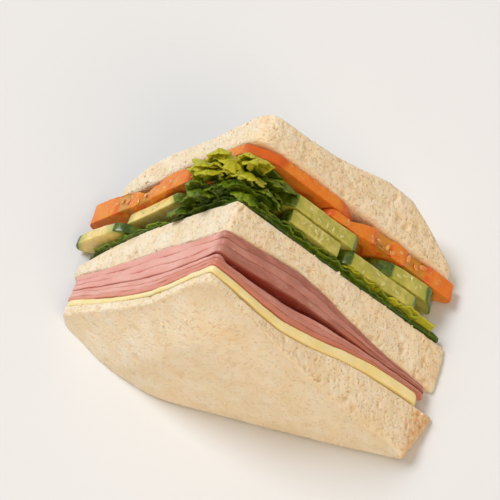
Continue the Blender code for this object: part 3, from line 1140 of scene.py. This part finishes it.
class SANDWICH_OT_salad(bpy.types.Operator):
    """Make the salad leaves and the sprig at the top corner"""

    bl_idname = "sandwich.salad"
    bl_label = "Salad"

    def execute(self, context):
        settings = context.scene.sandwich.salad
        thickness = settings.leaf_thickness
        material = leaf_material(settings)
        settle(salad_core(), material, "salad", "salad")
        # The side, span and depths of each leaf edge, its width, how far it stands proud, flap and tone. A
        # low tone is painted shade.
        ribbons = (
            (1, (0, 62), (1.7, 0.9), 9.0, -0.4, -0.2, 0.0),
            (1, (3, 34), (2.4, 2.0), 9.0, -0.7, 0.2, 0.1),
            (1, (31, 60), (2.1, 1.3), 8.0, 0.4, 0.5, 0.5),
            (1, (34, 46), (2.2, 1.9), 7.0, 0.9, 1.2, 0.7),
            (1, (46, 64), (1.6, 0.9), 7.0, 1.2, 1.2, 1.0),
            (1, (-3, 13), (4.6, 3.8), 9.0, -0.6, 0.3, 0.0),
            (1, (-2, 12), (6.4, 5.4), 9.0, -1.2, 0.3, 0.0),
            (1, (0, 12), (8.6, 7.4), 9.0, -1.6, 0.2, 0.0),
            (1, (0, 12), (10.6, 9.4), 9.0, -1.2, 0.3, 0.05),
            (1, (0, 11), (12.6, 11.6), 9.0, -0.8, 0.3, 0.1),
            (-1, (0, 62), (2.5, 1.5), 9.0, -0.2, 0.2, 0.0),
            (-1, (3, 27), (4.2, 3.4), 9.0, 0.1, 0.6, 0.1),
            (-1, (28, 63), (2.4, 2.0), 8.0, 0.4, 0.7, 0.22),
            (-1, (2, 26), (6.6, 5.2), 9.0, -0.4, 0.5, 0.0),
            (-1, (4, 25), (8.8, 7.4), 9.0, -0.6, 0.4, 0.05),
        )
        # Where each small leaf of the sprig stands, across, back and up, and its size, lean and tone. The
        # dark ones, low in the hollows, have low tones: painted shade.
        dark = [
            (-17.5, 5.0, 28.0, 7.5, -0.2, 0.02),
            (-16.0, 7.5, 29.5, 7.5, -0.2, 0.06),
            (-14.0, 4.0, 31.0, 7.5, -0.2, 0.08),
            (2.0, 6.0, 36.0, 6.0, 0.2, 0.0),
            (4.6, 9.0, 35.0, 6.0, 0.3, 0.0),
            (3.0, 10.4, 38.0, 7.0, 0.3, 0.05),
            (5.4, 11.8, 36.0, 7.0, 0.3, 0.1),
        ]
        for i in range(8):
            height = 39.6 - 0.5 * abs(i - 4)
            dark.append((2 * i - 11, 4.0 + 0.8 * (i % 3), height, 7.5, 0.1 * i - 0.5, 0.15))
        bright = [(-11.8, 9.5, 37.5, 10.0, -0.12, 0.95), (-10.8, 11.6, 39.5, 9.0, -0.1, 0.8)]
        for i in range(5):
            bright.append((2.1 * i - 9.4, 7.4 + 0.8 * (i % 3), 41.5, 8.0, 0.06 * i - 0.1, 0.6))
            bright.append((2.1 * i - 8.8, 10.8 + 0.7 * (i % 2), 43.0, 8.0, 0.06 * i - 0.1, 0.85))
        leaves = [edge_ribbon(row, seed * 3.3, thickness) for seed, row in enumerate(ribbons)]
        chance = random.Random(21)
        leaves += [curly_leaf(spot, chance, thickness) for spot in dark + bright]
        settle(join(leaves, "salad_leaves"), material, "salad")
        return {"FINISHED"}


# ---------------- crumbs


class SANDWICH_OT_crumbs(bpy.types.Operator):
    """Make the bread crumbs that cling to the cuts"""

    bl_idname = "sandwich.crumbs"
    bl_label = "Crumbs"

    def execute(self, context):
        chance = random.Random(31)
        bpy.ops.mesh.primitive_ico_sphere_add(subdivisions=2, radius=0.5)
        model = new_piece("crumb")
        reshape(model, lambda co, _: co * (1 + 0.45 * noise.noise(co * 3.1)) * MM)
        places = []
        for node in BREADS:
            verts = bpy.data.objects[node + "_piece"].data.vertices
            for vert in chance.sample([v for v in verts if v.normal.z > 0.45], 45):
                size = chance.uniform(0.25, 0.5) if chance.random() < 0.85 else chance.uniform(0.55, 0.9)
                place = vert.co + vert.normal * 0.12 * MM
                places.append((place, vert.normal, chance.uniform(0, math.tau), size))
        crumbs = scatter_copies(model, places, "bread_crumbs")
        # Crumbs count as cut faces, with a little of the darker orange end tint and a little painted shade
        # of the cells.
        for name, value in (("cut", 1.0), ("end_tint", 0.15), ("pore", 0.1)):
            mark_by(crumbs, name, lambda co, _: value)
        settle(crumbs, bpy.data.materials["bread_crumb"], "bread")
        return {"FINISHED"}


# ---------------- stage


def soft_light(name, direction, spread, power, tint):
    """A light from far off in that direction, as soft as a lamp that wide across the sky, in degrees."""
    light = bpy.data.lights.new(name, "SUN")
    light.angle = math.radians(spread)
    light.energy = power
    light.color = tint
    lamp = bpy.data.objects.new(name, light)
    lamp.location = direction
    lamp.rotation_euler = direction.to_track_quat("Z", "Y").to_euler()
    bpy.context.scene.collection.objects.link(lamp)


class SANDWICH_OT_stage(bpy.types.Operator):
    """Make the floor, the lights and the camera"""

    bl_idname = "sandwich.stage"
    bl_label = "Stage"

    def execute(self, context):
        settings = context.scene.sandwich.stage
        bpy.ops.object.select_all(action="DESELECT")
        # The floor is so wide that its edge lies out of sight.
        bpy.ops.mesh.primitive_plane_add(size=80.0, location=(0, 0, 0))
        floor = new_piece("floor")
        made, tree, shader = new_material("pale_floor", Roughness=0.6)
        darker = [0.97 * value for value in settings.floor]
        mottle = mottled(object_place(tree), settings.floor, darker, 9.0, 400.0)
        finish(shader, Base_Color=mottle["Colour"])
        floor.data.materials.append(made)
        soft_light("key", Vector((-0.42, 0.16, 0.6)), 26, 2.0, (0.98, 1.0, 1.04))
        soft_light("fill", Vector((0.45, -0.5, 0.48)), 34, 1.22, (1.0, 0.75, 0.48))
        world = bpy.data.worlds.new("soft_world")
        world.use_nodes = True
        tree = world.node_tree
        seen = tree.nodes.new("ShaderNodeLightPath").outputs["Is Camera Ray"]
        sky = {"Color": (1.0, 0.95, 0.88), "Strength": stretch(seen, 0.45, 0.36)}
        fill(tree.nodes["Background"], sky)
        context.scene.world = world
        context.scene.view_settings.view_transform = "Standard"
        self.add_camera(context, settings)
        return {"FINISHED"}

    def add_camera(self, context, settings):
        low, high = (Vector(value) for value in CAD_BOX)
        data = bpy.data.cameras.new("camera")
        data.lens = 140
        data.clip_start = 0.01
        camera = bpy.data.objects.new("camera", data)
        turn, tilt = settings.turn, settings.tilt
        back = Vector((math.sin(turn) * math.cos(tilt), -math.cos(turn) * math.cos(tilt), math.sin(tilt)))
        distance = settings.view_width * data.lens / data.sensor_width
        camera.matrix_world = back.to_track_quat("Z", "Y").to_matrix().to_4x4()
        camera.location = (low + high) / 2 + back * distance
        camera.rotation_euler.rotate_axis("Z", -settings.roll)
        context.scene.collection.objects.link(camera)
        context.scene.camera = camera


# ---------------- panel and running


STEPS = (
    SANDWICH_OT_bread,
    SANDWICH_OT_cheese,
    SANDWICH_OT_ham,
    SANDWICH_OT_cucumber,
    SANDWICH_OT_tomato,
    SANDWICH_OT_salad,
    SANDWICH_OT_crumbs,
    SANDWICH_OT_stage,
)


class SANDWICH_PT_panel(bpy.types.Panel):
    """Lists the sandwich's pieces and their settings"""

    bl_label = "Club sandwich"
    bl_space_type = "VIEW_3D"
    bl_region_type = "UI"
    bl_category = "Sandwich"

    def draw(self, context):
        for step in STEPS:
            self.layout.operator(step.bl_idname)
        for part in ("bread", "filling", "salad", "stage"):
            box = self.layout.box()
            box.label(text=part.title())
            settings = getattr(context.scene.sandwich, part)
            for name in settings.__annotations__:
                box.prop(settings, name)


CLASSES = (
    BreadSettings,
    FillingSettings,
    SaladSettings,
    StageSettings,
    SandwichSettings,
    *STEPS,
    SANDWICH_PT_panel,
)


def register():
    for entry in CLASSES:
        bpy.utils.register_class(entry)
    bpy.types.Scene.sandwich = PointerProperty(type=SandwichSettings)


def unregister():
    del bpy.types.Scene.sandwich
    for entry in reversed(CLASSES):
        bpy.utils.unregister_class(entry)


def main():
    register()
    build_mottle_group()
    build_crumb_group()
    build_round_group()
    for step in STEPS:
        group, name = step.bl_idname.split(".")
        getattr(getattr(bpy.ops, group), name)()


if __name__ == "__main__":
    main()
